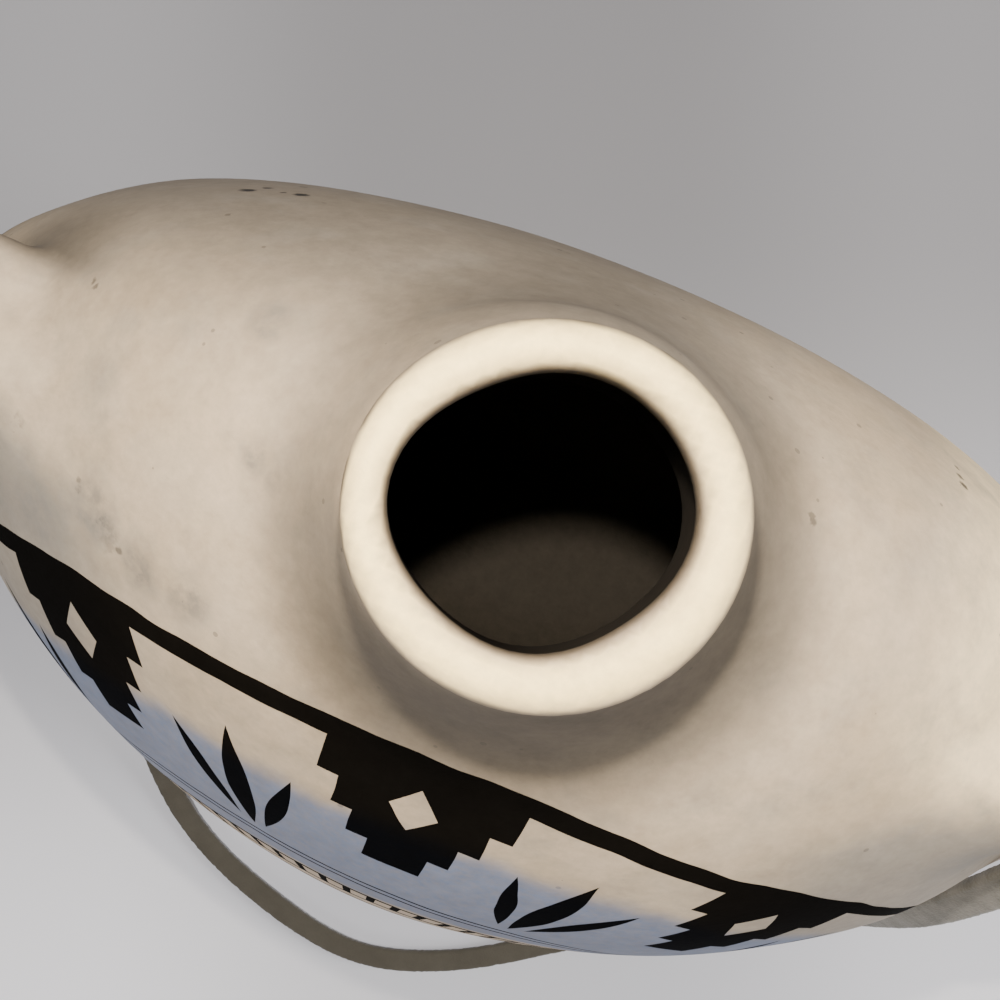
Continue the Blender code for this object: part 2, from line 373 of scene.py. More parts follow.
# painted shade, painted light and wear on the slip, in millimetres; a pair says where it starts and where it
# is full
shadeAndWear = {
    "insideSpan": (-0.6, 0.6),
    "creaseSpan": (13.0, 1.0),
    "creaseBehind": (3.0, 7.0),
    "neckShadeRing": 2.5,  # the ring of painted shade lies this far outside the lip
    "neckShadeFacing": (0.5, -0.87),  # the side of the neck where the painted shade is strongest
    "neckShadeBeside": (-0.7, 0.0),
    "neckShadeInFront": (0.0, 0.8),
    "neckShadeSpan": (12.0, 4.0),
    "neckShadeWider": (5.5, 1.0),  # added to the span in front
    "neckShadeAmounts": (0.42, 0.45, 0.08),  # all round, more beside, more in front
    "underLipSpan": (0.5, 2.2),
    "underLipEnd": (17.0, 9.0),
    "underLipOut": (0.0, 0.5),
    "underLipShade": 0.5,
    "neckWithin": 26.0,
    # painted shade on the upper back and painted light on the right end
    "upperSpan": (70.0, 125.0),
    "backShadeBehind": (-5.0, 20.0),
    "backShadeLeft": (36.0, 0.0),
    "backShadeAmounts": (0.4, 0.6),  # everywhere, more above
    "litRightSpan": (36.0, 54.0),
    "litRightBehind": (-16.0, -5.0),
    "litRightAmount": 0.6,
    "lipSpan": (1.4, 0.05),
}


def neckShade(x, y, z, body):
    # painted shade round the root of the neck, more of it in front, and on the neck's side under the lip
    middle = lipShape(x, y)[0]
    out = np.hypot(x, y)
    fromRoot = np.abs(body) + np.abs(out - clay["lipRadius"] - shadeAndWear["neckShadeRing"])
    facing = (shadeAndWear["neckShadeFacing"][0] * x + shadeAndWear["neckShadeFacing"][1] * y) / np.maximum(out, 1.0)
    inFront = smoothStep(*shadeAndWear["neckShadeInFront"], facing)
    start, full = (edge + wider * inFront for edge, wider in zip(shadeAndWear["neckShadeSpan"], shadeAndWear["neckShadeWider"]))
    allRound, beside, front = shadeAndWear["neckShadeAmounts"]
    root = smoothStep(start, full, fromRoot)
    root *= allRound + beside * smoothStep(*shadeAndWear["neckShadeBeside"], facing) + front * inFront
    drop = clay["rimHeight"] - clay["girthHeight"] - z
    underLip = smoothStep(*shadeAndWear["underLipSpan"], drop) * smoothStep(*shadeAndWear["underLipEnd"], drop)
    underLip *= smoothStep(*shadeAndWear["underLipOut"], out - middle) * (out < shadeAndWear["neckWithin"])
    return np.maximum(root * (z > 0.0), shadeAndWear["underLipShade"] * underLip)


def shadeAndWearOf(spots):
    # how much each painted shade, painted light and kind of wear shows at each point
    x, y, z = spots[:, 0], spots[:, 1], spots[:, 2] - clay["girthHeight"]
    skin, hollow = clayParts(spots)
    body = roundDistance(x, y, z, 0.0)
    fromCrease = np.abs(body) + np.abs(lugDistance(x, y, z))
    # painted shade greys the upper back and painted light makes the right end paler
    upper = smoothStep(*shadeAndWear["upperSpan"], spots[:, 2])
    everywhere, above = shadeAndWear["backShadeAmounts"]
    backShade = smoothStep(*shadeAndWear["backShadeBehind"], y) * smoothStep(*shadeAndWear["backShadeLeft"], x)
    backShade *= everywhere + above * upper
    litRight = smoothStep(*shadeAndWear["litRightSpan"], x) * smoothStep(*shadeAndWear["litRightBehind"], y) * upper
    return {
        "inside": smoothStep(*shadeAndWear["insideSpan"], np.abs(skin) - np.abs(hollow)),
        # painted shade in the crease behind each lug
        "crease": smoothStep(*shadeAndWear["creaseSpan"], fromCrease) * smoothStep(*shadeAndWear["creaseBehind"], y),
        # painted shade round the neck's root and under the lip
        "root": neckShade(x, y, z, body),
        # the top of the lip, painted lighter as a highlight
        "lip": smoothStep(*shadeAndWear["lipSpan"], clay["rimHeight"] - spots[:, 2]),
        # painted shade on the back, below nought where painted light pales the right end
        "backShade": backShade - shadeAndWear["litRightAmount"] * litRight,
    }


def cutClay(source, name, planes):
    # the part of the clay on the inner side of each plane, closed with a flat face
    work = bmesh.new()
    work.from_mesh(source)
    for spot, normal in planes:
        whole = work.verts[:] + work.edges[:] + work.faces[:]
        bmesh.ops.bisect_plane(work, geom=whole, dist=1e-7, plane_co=spot, plane_no=normal, clear_outer=True)
        rim = [e for e in work.edges if len(e.link_faces) == 1]
        if rim:
            bmesh.ops.triangle_fill(work, edges=rim, use_beauty=True, normal=normal)
    bmesh.ops.triangulate(work, faces=[f for f in work.faces if len(f.verts) > 4])
    mesh = bpy.data.meshes.new(name)
    work.to_mesh(mesh)
    work.free()
    spots = np.empty(len(mesh.vertices) * 3)
    mesh.vertices.foreach_get("co", spots)
    spots = spots.reshape(-1, 3) / mm
    slope = claySlope(spots)
    slope /= np.maximum(np.linalg.norm(slope, axis=1), 1e-6)[:, None]
    mesh.shade_smooth()
    mesh.normals_split_custom_set_from_vertices(slope.tolist())
    for label, amount in shadeAndWearOf(spots).items():
        mark = mesh.attributes.new(label, "FLOAT", "POINT")
        mark.data.foreach_set("value", amount.astype(np.float32))
    obj = bpy.data.objects.new(name, mesh)
    scene.collection.objects.link(obj)
    return obj


wholeClay = buildClay()
print("clay surface:", len(wholeClay.vertices), "points")

girthTop = Vector((0.0, 0.0, clay["girthHeight"] * mm))
lugMiddle = radians(sum(clay["lugAngles"]) / 2)
rightOut = Vector((np.sin(lugMiddle), 0.0, np.cos(lugMiddle)))
leftOut = Vector((-rightOut.x, 0.0, rightOut.z))
rightSpot = girthTop + rightOut * clay["lugCut"] * mm
leftSpot = girthTop + leftOut * clay["lugCut"] * mm
neckSpot = Vector((0.0, 0.0, clay["neckCut"] * mm))
up = Vector((0.0, 0.0, 1.0))
back = Vector((0.0, 1.0, 0.0))
origin = Vector((0.0, 0.0, 0.0))
bodyPlanes = [(neckSpot, up), (rightSpot, rightOut), (leftSpot, leftOut)]
frontShell = cutClay(wholeClay, "frontShell", bodyPlanes + [(origin, back)])
backShell = cutClay(wholeClay, "backShell", bodyPlanes + [(origin, -back)])
neck = cutClay(wholeClay, "lippedNeck", [(neckSpot, -up)])
rightLug = cutClay(wholeClay, "rightLug", [(rightSpot, -rightOut)])
leftLug = cutClay(wholeClay, "leftLug", [(leftSpot, -leftOut)])
bpy.data.meshes.remove(wholeClay)
print("clay cut into its pieces")


# cream slip over a fired clay body: soft mottling, grey handling marks, dark grit specks, small chips, and
# painted shade and painted light laid into its colour
slip = {
    "pale": "#c6b298",
    "warm": "#b9a385",
    # the lip painted lighter and warmer: partly a painted highlight, partly the lip rubbed clean
    "lip": "#fde09c",
    "smudge": "#948b7e",
    # colour of the rubbed marks and of the painted shade before the lugs
    "rubAndShade": "#7a7267",
    # colour of the painted shade behind the lugs and round the neck
    "paintedShade": "#534c42",
    # colours of the painted shade on the back and of the painted light on the right end
    "backShade": "#756c60",
    "paintedLight": "#fde3b6",
    "speck": "#524940",
    "chip": "#26221d",
    "bare": "#524b41",
    # colour of the painted shade in the bore
    "bore": "#19140f",
    # colour of the painted shade before each lug
    "lugShade": "#858078",
    "roughness": 0.62,
    "gloss": 0.16,
    # each noise: name, size in mm, detail
    "noises": [
        ("mottle", 24.0, 3.0),
        ("wander", 9.1, 1.0),
        ("smudge", 8.0, 5.0),
        ("fine", 2.6, 4.0),
        ("grain", 0.9, 2.0),
    ],
    "noiseRoughness": 0.6,
    # how far each noise darkens and lightens the whole
    "dapple": [("grain", 0.95, 1.035), ("fine", 0.9, 1.07)],
    "dappleSpan": (0.3, 0.7),
    "warmSpan": (0.35, 0.68),
    "backShadeMost": 0.86,
    "paintedLightGain": -2.0,
    "smudgeSpan": (0.5, 0.78),
    "smudgeMost": 0.45,
    "rubSpan": (0.35, 0.6),
    "rubMost": 0.7,
    "markEdges": (1.6, 0.5),  # sizes from its centre at which a mark starts and is full
    # how strongly the painted shade shows behind the lugs and round the neck's root
    "creaseShadeMost": 0.8,
    "neckShadeMost": 0.92,
    "lipMost": 0.92,
    "speckSpacing": 3.6,  # mm
    "speckChance": (0.55, 1.0),
    "speckSize": 0.11,  # of the spacing
    "speckMost": 0.45,
    "chipEdges": (1.25, 0.6),
    "chipRagged": 0.5,  # mm
    "chipHollow": -1.5,
    "boreShadeSpan": (148.0, 164.0),  # mm above the table
    "boreShadeRight": (9.0, 0.75),  # mm to the right at which the bore's painted shade is less dark, and how dark
    "reliefStrength": 0.35,
    "reliefDepth": 0.12 * mm,
    # each chip: its place and size in mm, how strongly it shows
    "chips": [
        ((-45.4, 22.5, 134.1), 1.0, 1.0), ((-43.9, 24.0, 131.8), 0.6, 0.9), ((-39.1, 24.2, 135.3), 0.9, 1.0),
        ((-41.3, 23.8, 134.7), 0.4, 0.8), ((-40.9, 26.3, 128.1), 0.5, 0.6), ((-35.4, 23.8, 138.8), 0.35, 0.4),
        ((-43.5, 17.6, 145.2), 0.35, 0.4), ((24.4, 9.7, 163.1), 0.4, 0.45), ((24.7, 9.2, 163.3), 0.45, 0.5),
        ((42.9, 22.9, 140.0), 0.4, 0.6), ((42.9, 21.7, 142.2), 0.5, 0.75), ((43.1, 20.8, 143.7), 0.6, 0.8),
        ((-8.7, 30.1, 133.1), 0.4, 0.6), ((-52.6, 5.0, 150.3), 0.35, 0.5), ((-52.0, 4.6, 150.9), 0.4, 0.5),
        ((-45.4, -14.9, 152.6), 0.4, 0.4), ((-38.4, -19.9, 153.9), 0.45, 0.5),
    ],
    # each mark: its place and size in mm; the large ones before the lugs are painted shade, the rest handling
    # marks
    "marksAndShade": [
        ((-57.5, -16.0, 138.0), 7.0), ((-62.0, -10.0, 139.0), 5.0), ((-50.0, -20.0, 145.0), 4.5),
        ((-27.0, -5.2, 164.2), 1.7), ((-24.0, -6.5, 165.0), 1.2), ((-31.2, 7.4, 161.3), 2.2),
        ((-35.5, -20.8, 154.9), 2.6), ((-42.5, -17.0, 153.0), 3.2), ((-29.0, -21.0, 157.0), 2.6),
        ((62.5, -14.5, 137.5), 6.5), ((57.5, -17.0, 138.0), 4.5),
    ],
}

# painted shade before each lug, where the clay turns down, sizes in mm
ends = {
    "across": (0.446, -0.895, 0.0),
    "edge": 39.8,
    "smudge": 7.0,  # how far each noise moves the edge
    "grain": 1.6,
    "asideSpan": (32.0, 46.0),
    "heightSpan": (104.0, 122.0),
    "edgeSpan": (-2.0, 3.0),
    "most": 0.68,
    "scuffWidth": (1.5, 0.3),
    "scuffSpan": (0.55, 0.63),
    "scuffMost": 0.6,
}

# painted design on the front: polar steps in mm from the girth centre, turn in radians from straight up
pendantSector = 0.31416  # half of one tenth of the round
petalSector = 0.3927  # half of one eighth
rungSector = 0.0393  # half of one eightieth
design = {
    "black": "#040404",
    "blue": "#6d7a94",
    "blueStrength": (0.72, 0.98),
    "blueGrain": (0.2, 0.8),
    "blueBorders": ((73.5, 69.5), (47.0, 49.5)),  # mm from the centre, from none to full
    "blueWander": 7.0,  # mm
    "inkMost": 0.99,
    "steps": [
        ("up", "SUBTRACT", "z", clay["girthHeight"]),
        ("across", "MULTIPLY", "x", "x"),
        ("square", "MULTIPLY_ADD", "up", "up", "across"),
        ("plainReach", "SQRT", "square"),
        ("leaning", "MULTIPLY_ADD", "x", 0.022, "plainReach"),
        ("reach", "MULTIPLY_ADD", "wander", 0.8, "leaning"),
        ("plainTurn", "ARCTAN2", "x", "up"),
        ("turn", "MULTIPLY_ADD", "wander", 0.010, "plainTurn"),
        # framing band under the shoulder
        ("band", "COMPARE", "reach", 76.8, 0.9),
        # stepped pendants under the band, ten to the round, each with an open diamond
        ("sector", "PINGPONG", "turn", pendantSector),
        ("aside", "MULTIPLY", "sector", "reach"),
        ("fall", "SUBTRACT", 75.95, "reach"),
        ("stairs", "SNAP", "fall", 3.9),
        ("stairHalf", "MULTIPLY_ADD", "stairs", -0.66, 11.2),
        ("inStairs", "LESS_THAN", "aside", "stairHalf"),
        ("belowBand", "GREATER_THAN", "fall", 0.0),
        ("notDeep", "LESS_THAN", "fall", 15.6),
        ("stairCut", "MULTIPLY", "belowBand", "notDeep"),
        ("gemFrom", "SUBTRACT", "fall", 4.6),
        ("gemOff", "ABSOLUTE", "gemFrom"),
        ("gemSum", "ADD", "gemOff", "aside"),
        ("aroundGem", "GREATER_THAN", "gemSum", 2.9),
        ("stairBody", "MULTIPLY", "inStairs", "aroundGem"),
        ("pendant", "MULTIPLY", "stairBody", "stairCut"),
        # three-leaf sprays between the pendants
        ("between", "SUBTRACT", pendantSector, "sector"),
        ("sideways", "MULTIPLY", "between", "reach"),
        ("leafRun", "SUBTRACT", "reach", 53.0),
        ("leafShare", "MULTIPLY", "leafRun", 0.1745),
        ("leafSwell", "SINE", "leafShare"),
        ("leafHalf", "MULTIPLY", "leafSwell", 1.8),
        ("leaf", "LESS_THAN", "sideways", "leafHalf"),
        ("sprayMiddle", "MULTIPLY_ADD", "leafRun", 0.44, 1.4),
        ("sprayShare", "MULTIPLY_ADD", "leafRun", 0.2244, -0.2),
        ("spraySwell", "SINE", "sprayShare"),
        ("sprayHalf", "MULTIPLY", "spraySwell", 1.25),
        ("spray", "COMPARE", "sideways", "sprayMiddle", "sprayHalf"),
        ("anyLeaf", "MAXIMUM", "leaf", "spray"),
        ("leafHigh", "GREATER_THAN", "reach", 53.0),
        ("leafLow", "LESS_THAN", "reach", 71.0),
        ("leafZone", "MULTIPLY", "leafHigh", "leafLow"),
        ("leaves", "MULTIPLY", "anyLeaf", "leafZone"),
        # fine pair of ring lines under the sprays, and a rung border further in
        ("fineFold", "SUBTRACT", "reach", 50.2),
        ("fineOff", "ABSOLUTE", "fineFold"),
        ("fines", "COMPARE", "fineOff", 0.8, 0.22),
        ("lineFold", "SUBTRACT", "reach", 42.0),
        ("lineOff", "ABSOLUTE", "lineFold"),
        ("lines", "COMPARE", "lineOff", 2.2, 0.42),
        ("rungTurn", "PINGPONG", "turn", rungSector),
        ("rungThin", "LESS_THAN", "rungTurn", 0.0135),
        ("rungZone", "LESS_THAN", "lineOff", 2.2),
        ("rungs", "MULTIPLY", "rungThin", "rungZone"),
        # eight petals round a dot in the middle of the face, with a hoop round them
        ("petalTurn", "PINGPONG", "turn", petalSector),
        ("petalSide", "MULTIPLY", "petalTurn", "reach"),
        ("petalRun", "SUBTRACT", "reach", 9.0),
        ("petalShare", "MULTIPLY", "petalRun", 0.1428),
        ("petalSwell", "SINE", "petalShare"),
        ("petalHalf", "MULTIPLY", "petalSwell", 5.2),
        ("petalBody", "LESS_THAN", "petalSide", "petalHalf"),
        ("petalFar", "GREATER_THAN", "reach", 9.0),
        ("petalNear", "LESS_THAN", "reach", 31.0),
        ("petalZone", "MULTIPLY", "petalFar", "petalNear"),
        ("petals", "MULTIPLY", "petalBody", "petalZone"),
        ("dot", "LESS_THAN", "reach", 6.0),
        ("hoop", "COMPARE", "reach", 35.0, 0.7),
    ],
    "inks": ["band", "pendant", "leaves", "fines", "lines", "rungs", "petals", "dot", "hoop"],
}


def clayGround(tree):
    # what every layer reads: the place in mm, its axes, the noises and the painted shade, painted light and
    # wear kept on the mesh
    spot = addNode(tree, "ShaderNodeTexCoord")["Object"]
    place = addNode(tree, "ShaderNodeVectorMath", {0: spot, "Scale": 1 / mm}, operation="SCALE")[0]
    axes = addNode(tree, "ShaderNodeSeparateXYZ", [place])
    noise = {}
    for label, size, detail in slip["noises"]:
        settings = {"Vector": place, "Scale": 1 / size, "Detail": detail, "Roughness": slip["noiseRoughness"]}
        noise[label] = addNode(tree, "ShaderNodeTexNoise", settings)[0]
    part = {}
    for label in ("inside", "crease", "root", "lip", "backShade"):
        part[label] = addNode(tree, "ShaderNodeAttribute", attribute_name=label)["Fac"]
    return place, axes, noise, part


def slipLayers(tree, place, noise, part):
    # mottling, painted shade on the back, painted light on the right end, faint patches, and rubbed marks,
    # the large ones before the lugs being painted shade
    warmed = addNode(tree, "ShaderNodeMapRange", [noise["mottle"], *slip["warmSpan"]])[0]
    layers = [(warmed, slip["warm"])]
    # painted shade on the back, then painted light on the right end
    for gain, colour in (("backShadeMost", "backShade"), ("paintedLightGain", "paintedLight")):
        shown = addNode(tree, "ShaderNodeMath", [part["backShade"], slip[gain]],
                        operation="MULTIPLY", use_clamp=True)[0]
        layers.append((shown, slip[colour]))
    faint = [noise["smudge"], *slip["smudgeSpan"], 0.0, slip["smudgeMost"]]
    patch = addNode(tree, "ShaderNodeMapRange", faint)[0]
    rubbedAndShaded = 0.0
    start, full = slip["markEdges"]
    for centre, size in slip["marksAndShade"]:
        away = addNode(tree, "ShaderNodeVectorMath", [place, centre], operation="DISTANCE")["Value"]
        near = addNode(tree, "ShaderNodeMapRange", [away, start * size, full * size],
                       interpolation_type="SMOOTHSTEP")[0]
        rubbedAndShaded = addNode(tree, "ShaderNodeMath", [rubbedAndShaded, near], operation="MAXIMUM")[0]
    uneven = addNode(tree, "ShaderNodeMapRange", [noise["fine"], *slip["rubSpan"], 0.0, slip["rubMost"]])[0]
    rubbedAndShaded = addNode(tree, "ShaderNodeMath", [rubbedAndShaded, uneven], operation="MULTIPLY")[0]
    return layers + [(patch, slip["smudge"]), (rubbedAndShaded, slip["rubAndShade"])]


def lugShadeLayers(tree, axes, noise):
    # painted shade before each lug, with a ragged edge that is scuffed on the left
    either = addNode(tree, "ShaderNodeMath", [axes["X"]], operation="ABSOLUTE")[0]
    folded = addNode(tree, "ShaderNodeCombineXYZ", [either, axes["Y"]])[0]
    edge = addNode(tree, "ShaderNodeVectorMath", [folded, ends["across"]], operation="DOT_PRODUCT")["Value"]
    for label in ("smudge", "grain"):
        edge = addNode(tree, "ShaderNodeMath", [noise[label], ends[label], edge], operation="MULTIPLY_ADD")[0]
    beyond = addNode(tree, "ShaderNodeMath", [edge, ends["edge"]], operation="SUBTRACT")[0]
    atEnds = addNode(tree, "ShaderNodeMapRange", [either, *ends["asideSpan"]])[0]
    highUp = addNode(tree, "ShaderNodeMapRange", [axes["Z"], *ends["heightSpan"]])[0]
    limit = addNode(tree, "ShaderNodeMath", [atEnds, highUp], operation="MULTIPLY")[0]
    lugShade = addNode(tree, "ShaderNodeMapRange", [beyond, *ends["edgeSpan"], 0.0, ends["most"]])[0]
    lugShade = addNode(tree, "ShaderNodeMath", [lugShade, limit], operation="MULTIPLY")[0]
    fromEdge = addNode(tree, "ShaderNodeMath", [beyond], operation="ABSOLUTE")[0]
    atEdge = addNode(tree, "ShaderNodeMapRange", [fromEdge, *ends["scuffWidth"]])[0]
    onLeft = addNode(tree, "ShaderNodeMath", [axes["X"], 0.0], operation="LESS_THAN")[0]
    broken = [noise["fine"], *ends["scuffSpan"], 0.0, ends["scuffMost"]]
    scuff = addNode(tree, "ShaderNodeMapRange", broken)[0]
    for other in (atEdge, limit, onLeft):
        scuff = addNode(tree, "ShaderNodeMath", [scuff, other], operation="MULTIPLY")[0]
    return [(lugShade, slip["lugShade"]), (scuff, slip["speck"])]


def gritAndShadeLayers(tree, place, part):
    # grit specks in some of the cells only, painted shade behind the lugs and round the root of the neck, and
    # a lip painted lighter, partly a painted highlight and partly rubbed clean
    speck = addNode(tree, "ShaderNodeTexVoronoi", {"Vector": place, "Scale": 1 / slip["speckSpacing"]})
    chance = addNode(tree, "ShaderNodeSeparateColor", [speck["Color"]])[0]
    size = addNode(tree, "ShaderNodeMapRange", [chance, *slip["speckChance"], 0.0, slip["speckSize"]])[0]
    grit = addNode(tree, "ShaderNodeMath", [speck["Distance"], size], operation="LESS_THAN")[0]
    layers = []
    for amount, most, colour in (
        (grit, "speckMost", "speck"),
        (part["crease"], "creaseShadeMost", "paintedShade"),
        (part["root"], "neckShadeMost", "paintedShade"),
        (part["lip"], "lipMost", "lip"),
    ):
        shown = addNode(tree, "ShaderNodeMath", [amount, slip[most]], operation="MULTIPLY")[0]
        layers.append((shown, slip[colour]))
    return layers


def chipAmount(tree, place, noise):
    # small ragged chips that show the dark body
    chipped = 0.0
    start, full = slip["chipEdges"]
    rough = slip["chipRagged"]
    ragged = addNode(tree, "ShaderNodeMapRange", [noise["grain"], 0.0, 1.0, -rough, rough])[0]
    for centre, size, strength in slip["chips"]:
        away = addNode(tree, "ShaderNodeVectorMath", [place, centre], operation="DISTANCE")["Value"]
        away = addNode(tree, "ShaderNodeMath", [away, ragged], operation="ADD")[0]
        near = addNode(tree, "ShaderNodeMapRange", [away, start * size, full * size, 0.0, strength])[0]
        chipped = addNode(tree, "ShaderNodeMath", [chipped, near], operation="MAXIMUM")[0]
    return chipped


def paintAmounts(tree, axes, noise, part):
    # how much of the sponged blue and of the brushed black shows
    known = {"x": axes["X"], "z": axes["Z"]}
    known["wander"] = addNode(tree, "ShaderNodeMath", [noise["wander"], 0.5], operation="SUBTRACT")[0]
    for label, operation, *values in design["steps"]:
        inputs = [known[v] if isinstance(v, str) else v for v in values]
        known[label] = addNode(tree, "ShaderNodeMath", inputs, operation=operation)[0]
    # blue in a ring with soft borders
    wandering = [noise["mottle"], design["blueWander"], known["plainReach"]]
    soft = addNode(tree, "ShaderNodeMath", wandering, operation="MULTIPLY_ADD")[0]
    sponged = [noise["grain"], *design["blueGrain"], *design["blueStrength"]]
    blue = addNode(tree, "ShaderNodeMapRange", sponged)[0]
    for border in design["blueBorders"]:
        within = addNode(tree, "ShaderNodeMapRange", [soft, *border], interpolation_type="SMOOTHSTEP")[0]
        blue = addNode(tree, "ShaderNodeMath", [blue, within], operation="MULTIPLY")[0]
    ink = 0.0
    for label in design["inks"]:
        ink = addNode(tree, "ShaderNodeMath", [ink, known[label]], operation="MAXIMUM")[0]
    outside = addNode(tree, "ShaderNodeMapRange", [part["inside"], 0.0, 1.0, design["inkMost"], 0.0])[0]
    ink = addNode(tree, "ShaderNodeMath", [ink, outside], operation="MULTIPLY")[0]
    return blue, ink


def insideLayers(tree, axes, part):
    # bare clay inside, with painted shade darkest in the bore and less so on its right wall
    deep = addNode(tree, "ShaderNodeMapRange", [axes["Z"], *slip["boreShadeSpan"]])[0]
    toRight, lessDark = slip["boreShadeRight"]
    rightWall = addNode(tree, "ShaderNodeMapRange", [axes["X"], 0.0, toRight, 1.0, lessDark])[0]
    for other in (part["inside"], rightWall):
        deep = addNode(tree, "ShaderNodeMath", [deep, other], operation="MULTIPLY")[0]
    return [(part["inside"], slip["bare"]), (deep, slip["bore"])]


def clayMaterial(name, painted):
    # gives the eye a dry burnished slip: matte, faintly uneven, never one flat tone
    made, tree, shader = newMaterial(name, slip["roughness"])
    shader["Specular IOR Level"].default_value = slip["gloss"]
    place, axes, noise, part = clayGround(tree)
    chipped = chipAmount(tree, place, noise)
    layers = slipLayers(tree, place, noise, part)
    layers += lugShadeLayers(tree, axes, noise)
    layers += gritAndShadeLayers(tree, place, part)
    layers.append((chipped, slip["chip"]))
    if painted:
        blue, ink = paintAmounts(tree, axes, noise, part)
        layers += [(blue, design["blue"]), (ink, design["black"])]
        gloss = addNode(tree, "ShaderNodeMapRange", [ink, 0.0, 1.0, slip["gloss"], 0.0])[0]
        tree.links.new(gloss, shader["Specular IOR Level"])
    layers += insideLayers(tree, axes, part)
    base = layered(tree, slip["pale"], layers)
    # fine dapple and grain over everything
    for label, least, most in slip["dapple"]:
        shade = addNode(tree, "ShaderNodeMapRange", [noise[label], *slip["dappleSpan"], least, most])[0]
        base = addNode(tree, "ShaderNodeVectorMath", {0: base, "Scale": shade}, operation="SCALE")[0]
    tree.links.new(base, shader["Base Color"])
    hollowed = [chipped, slip["chipHollow"], noise["grain"]]
    height = addNode(tree, "ShaderNodeMath", hollowed, operation="MULTIPLY_ADD")[0]
    settings = {"Height": height, "Strength": slip["reliefStrength"], "Distance": slip["reliefDepth"]}
    tree.links.new(addNode(tree, "ShaderNodeBump", settings)[0], shader["Normal"])
    return made


frontSlip = clayMaterial("paintedCreamSlip", True)
plainSlip = clayMaterial("creamSlip", False)
frontShell.data.materials.append(frontSlip)
for obj in (backShell, neck, rightLug, leftLug):
    obj.data.materials.append(plainSlip)
print("slip made")


# brushed suede, sizes in mm
nap = {
    "pale": "#7f786b",
    "dark": "#605a4d",
    # colour of the painted shadow on the loop that lies on the table
    "tableShadow": "#4a453b",
    "fibre": 0.35,
    "patch": 3.5,
    "fibreShare": 0.5,
    "toneSpan": (0.5, 1.0),
    "tableShadowSpan": (60.0, 8.0),  # above the table
    "tableShadowMost": 0.85,
    "roughness": 0.95,
    "gloss": 0.15,
    "sheen": 0.25,
    "reliefStrength": 0.6,
    "reliefDepth": 0.2 * mm,
}


def suedeMaterial():
    # gives the eye a soft uneven nap with no shine, with painted shadow darkening the loop that lies on the
    # table
    made, tree, shader = newMaterial("greyTanSuede", nap["roughness"])
    shader["Specular IOR Level"].default_value = nap["gloss"]
    shader["Sheen Weight"].default_value = nap["sheen"]
    spot = addNode(tree, "ShaderNodeTexCoord")["Object"]
    place = addNode(tree, "ShaderNodeVectorMath", {0: spot, "Scale": 1 / mm}, operation="SCALE")[0]
    noise = {}
    for label, detail in (("fibre", 3.0), ("patch", 4.0)):
        settings = {"Vector": place, "Scale": 1 / nap[label], "Detail": detail}
        noise[label] = addNode(tree, "ShaderNodeTexNoise", settings)[0]
    mixed = [noise["fibre"], nap["fibreShare"], noise["patch"]]
    blended = addNode(tree, "ShaderNodeMath", mixed, operation="MULTIPLY_ADD")[0]
    brushed = addNode(tree, "ShaderNodeMapRange", [blended, *nap["toneSpan"]])[0]
    height = addNode(tree, "ShaderNodeSeparateXYZ", [place])["Z"]
    tableShadow = addNode(tree, "ShaderNodeMapRange", [height, *nap["tableShadowSpan"], 0.0, nap["tableShadowMost"]])[0]
    base = layered(tree, nap["dark"], [(brushed, nap["pale"]), (tableShadow, nap["tableShadow"])])
    tree.links.new(base, shader["Base Color"])
    settings = {"Height": noise["fibre"], "Strength": nap["reliefStrength"], "Distance": nap["reliefDepth"]}
    tree.links.new(addNode(tree, "ShaderNodeBump", settings)[0], shader["Normal"])
    return made


suede = suedeMaterial()
print("suede made")


# suede thong, route in metres as the solids have it
thong = {
    "width": 0.0065,
    "thickness": 0.0022,
    "eyeAngle": 63.1225,  # degrees from straight up
    "eyeRise": 0.09233,
    "lugFront": -0.01125,
    "freeRight": [
        (0.0790, -0.0180, 0.1200),
        (0.0775, -0.0262, 0.1085),
        (0.0760, -0.0350, 0.0920),
        (0.0725, -0.0465, 0.0600),
        (0.0660, -0.0605, 0.0290),
        (0.0560, -0.0745, 0.0085),
    ],
    "freeLeft": [
        (-0.0802, -0.0180, 0.1200),
        (-0.0802, -0.0255, 0.1085),
        (-0.0790, -0.0330, 0.0920),
        (-0.0756, -0.0425, 0.0600),
        (-0.0685, -0.0575, 0.0290),
        (-0.0570, -0.0745, 0.0085),
    ],
    "onTable": [
        (0.0435, -0.0860),
        (0.0245, -0.0983),
        (0.0030, -0.1047),
        (-0.0230, -0.0996),
        (-0.0430, -0.0900),
    ],
    "tableLift": 0.0014,
    "knotGap": 0.0004,
    "intoKnot": 0.0016,
    "fineSteps": 24,  # from stop to stop
    "points": 880,
    "easing": 120,  # rounds that soften the bends
    "girth": 0.94,  # share of the full width
    "stretch": 0.23,  # how much of it is lost where the strip has stretched
    "stretchFrom": (0.3, 0.42),  # shares of the length
    "stretchTo": (0.97, 0.85),
    "waver": [(37, 0.012, 0.0), (83, 0.01, 1.0)],  # radians along the length, size, shift
    "ragged": 0.012,
    "raggedSeed": 5,
}
laceCorner = 0.42  # corner radius of any lace, in thicknesses


def eyePoint(side, y):
    turn = radians(thong["eyeAngle"])
    height = clay["girthHeight"] * mm + thong["eyeRise"] * np.cos(turn)
    return (side * thong["eyeRise"] * np.sin(turn), y, height)


